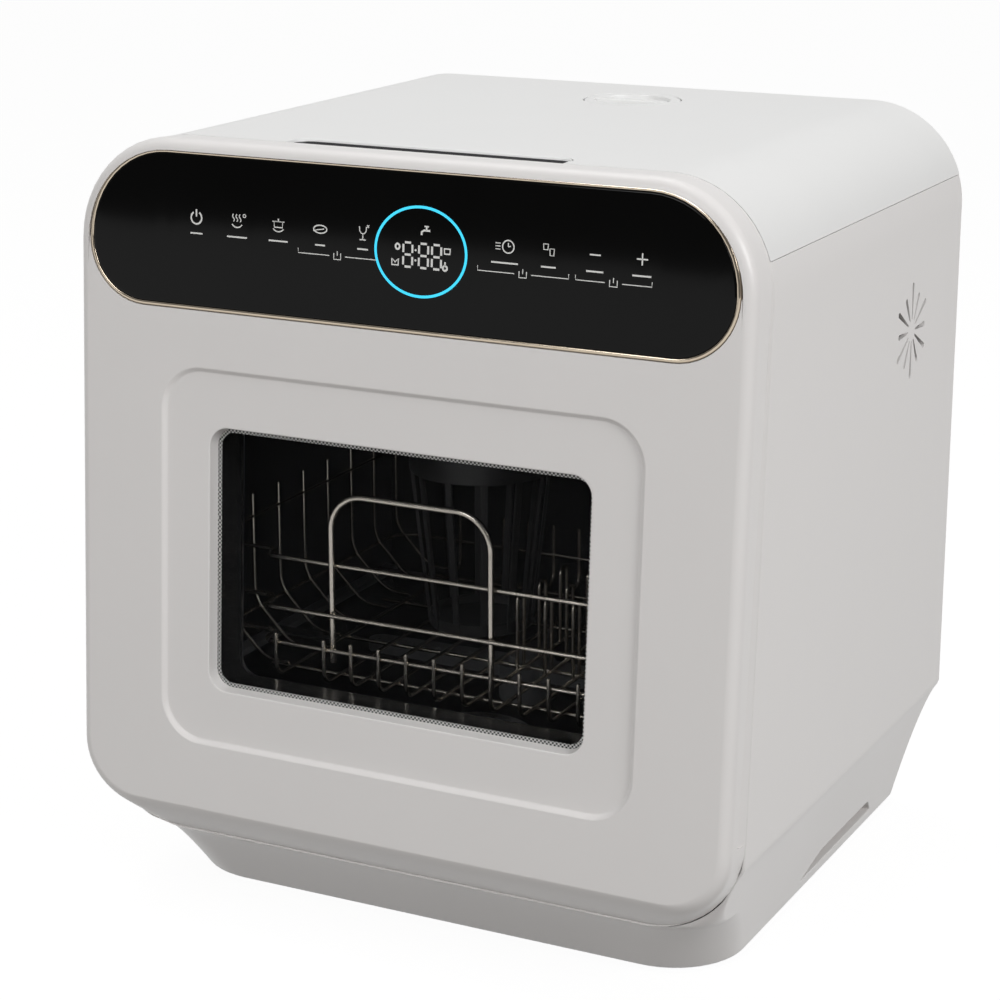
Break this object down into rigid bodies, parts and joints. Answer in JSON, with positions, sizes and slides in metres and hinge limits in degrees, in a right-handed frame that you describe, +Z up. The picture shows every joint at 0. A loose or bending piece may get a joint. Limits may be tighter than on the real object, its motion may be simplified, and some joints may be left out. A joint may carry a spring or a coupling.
{
  "type": "countertop dishwasher",
  "caption": "White countertop dishwasher with a drop-down glazed door, wire rack, spray arms, tank cap on top and a lit control panel.",
  "frame": {"origin": "on the worktop, under the middle of the casing", "axes": "+Z up, the door faces -Y, width along X"},
  "size_m": [0.42, 0.3699, 0.4661],
  "materials": {
    "white_moulding": "smooth white moulding with a soft sheen",
    "white_top": "smooth white moulding, a little brighter",
    "zinc_plate": "zinc-plated sheet",
    "foot_rubber": "matt black rubber",
    "grey_frame": "matt grey moulding",
    "stainless": "brushed stainless sheet",
    "seal_rubber": "soft dark rubber",
    "grey_plastic": "matt grey moulding",
    "dark_plastic": "matt near-black moulding",
    "motor_steel": "painted steel can",
    "tank_plastic": "milky moulding",
    "board_green": "green printed board",
    "liner_grey": "pressed stainless sheet",
    "black_glass": "black glass, polished",
    "bronze_trim": "polished bronze-tinted metal",
    "smoked_glass": "lightly smoked glass",
    "rack_wire": "coated pale grey wire",
    "basket_plastic": "dark grey moulding",
    "impeller_plastic": "pale moulding"
  },
  "bodies": {
    "casing": {"body_shell": "white_moulding", "top_cover": "white_top", "back_panel": "white_moulding", "base_pan": "zinc_plate", "rubber_feet": "foot_rubber", "front_frame": "grey_frame", "tub": "dark_plastic", "tub_gasket": "seal_rubber", "rack_runners": "grey_plastic", "sump": "grey_plastic", "filter_plate": "stainless", "spray_hub": "grey_plastic", "pump_housing": "dark_plastic", "pump_motor": "motor_steel", "drain_pump_body": "dark_plastic", "heater": "stainless", "hoses": "seal_rubber", "water_tank": "tank_plastic", "filler_neck": "white_moulding", "cap_seat": "white_top", "inlet_valve": "white_moulding", "drain_spigot": "grey_plastic", "cord_gland": "seal_rubber", "power_board": "board_green", "upper_hub": "dark_plastic", "riser_pipe": "seal_rubber", "fan_housing": "dark_plastic", "latch_housing": "dark_plastic", "hinge_arms": "zinc_plate", "case_screws": "zinc_plate"},
    "door": {"door_outer": "white_moulding", "door_liner": "liner_grey", "control_glass": "black_glass", "control_trim": "bronze_trim", "display_module": "dark_plastic", "control_board": "board_green", "window_outer": "smoked_glass", "window_seal": "seal_rubber", "window_sleeve": "dark_plastic", "window_inner": "smoked_glass", "hinge_brackets": "zinc_plate", "hinge_pins": "stainless", "latch_tongue": "zinc_plate", "dispenser_cup": "liner_grey"},
    "rack": {"rack_frame": "rack_wire", "rack_rails": "rack_wire", "rack_handle": "rack_wire", "rack_tines": "rack_wire", "rack_glides": "dark_plastic"},
    "dispenser_lid": {"dispenser_lid": "grey_plastic"},
    "cutlery_basket": {"cutlery_basket": "basket_plastic"},
    "lower_spray_arm": {"lower_spray_arm": "grey_plastic"},
    "upper_spray_arm": {"upper_spray_arm": "dark_plastic"},
    "wash_impeller": {"wash_impeller": "impeller_plastic"},
    "drain_impeller": {"drain_impeller": "impeller_plastic"},
    "fan_rotor": {"fan_rotor": "dark_plastic"},
    "cap_seal": {"cap_seal": "seal_rubber"},
    "fill_cap": {"fill_cap": "white_top"},
    "latch_roller": {"latch_roller": "stainless"},
    "filter_cylinder": {"filter_cylinder": "grey_plastic"}
  },
  "joints": [
    {"name": "door_hinge", "type": "hinge", "parent": "casing", "child": "door", "pos_m": [0, -0.16505, 0.06474], "axis": [1, 0, 0], "range_deg": [0, 93.6]},
    {"name": "rack_slide", "type": "slide", "parent": "casing", "child": "rack", "axis": [0, -1, 0], "range_m": [0, 0.148]},
    {"name": "basket_lift", "type": "slide", "parent": "rack", "child": "cutlery_basket", "axis": [0, 0, 1], "range_m": [0, 0.06]},
    {"name": "dispenser_slide", "type": "slide", "parent": "door", "child": "dispenser_lid", "axis": [1, 0, 0], "range_m": [0, 0.022]},
    {"name": "lower_arm_spin", "type": "hinge", "parent": "casing", "child": "lower_spray_arm", "pos_m": [0, 0, 0.1225], "axis": [0, 0, 1], "continuous": true},
    {"name": "upper_arm_spin", "type": "hinge", "parent": "casing", "child": "upper_spray_arm", "pos_m": [0, 0, 0.3875], "axis": [0, 0, 1], "continuous": true},
    {"name": "wash_pump_spin", "type": "hinge", "parent": "casing", "child": "wash_impeller", "pos_m": [0.062, 0.066, 0.04], "axis": [1, 0, 0], "continuous": true},
    {"name": "drain_pump_spin", "type": "hinge", "parent": "casing", "child": "drain_impeller", "pos_m": [-0.058, 0.084, 0.034], "axis": [1, 0, 0], "continuous": true},
    {"name": "fan_spin", "type": "hinge", "parent": "casing", "child": "fan_rotor", "pos_m": [0.18, 0.094, 0.341], "axis": [1, 0, 0], "continuous": true},
    {"name": "seal_lift", "type": "slide", "parent": "casing", "child": "cap_seal", "axis": [0, 0, 1], "range_m": [0, 0.03]},
    {"name": "cap_turn", "type": "hinge", "parent": "cap_seal", "child": "fill_cap", "pos_m": [0.013, 0.12, 0.455], "axis": [0, 0, 1], "range_deg": [-90, 0]},
    {"name": "latch_press", "type": "slide", "parent": "casing", "child": "latch_roller", "axis": [0, 0, 1], "range_m": [0, 0.003], "stiffness_N_per_m": 2000},
    {"name": "filter_turn", "type": "hinge", "parent": "casing", "child": "filter_cylinder", "pos_m": [0, -0.076, 0.09], "axis": [0, 0, 1], "range_deg": [0, 90]}
  ],
  "couplings": [
    {"joint": "rack_slide", "follows": "door_hinge", "m_per_rad": 0.09}
  ]
}
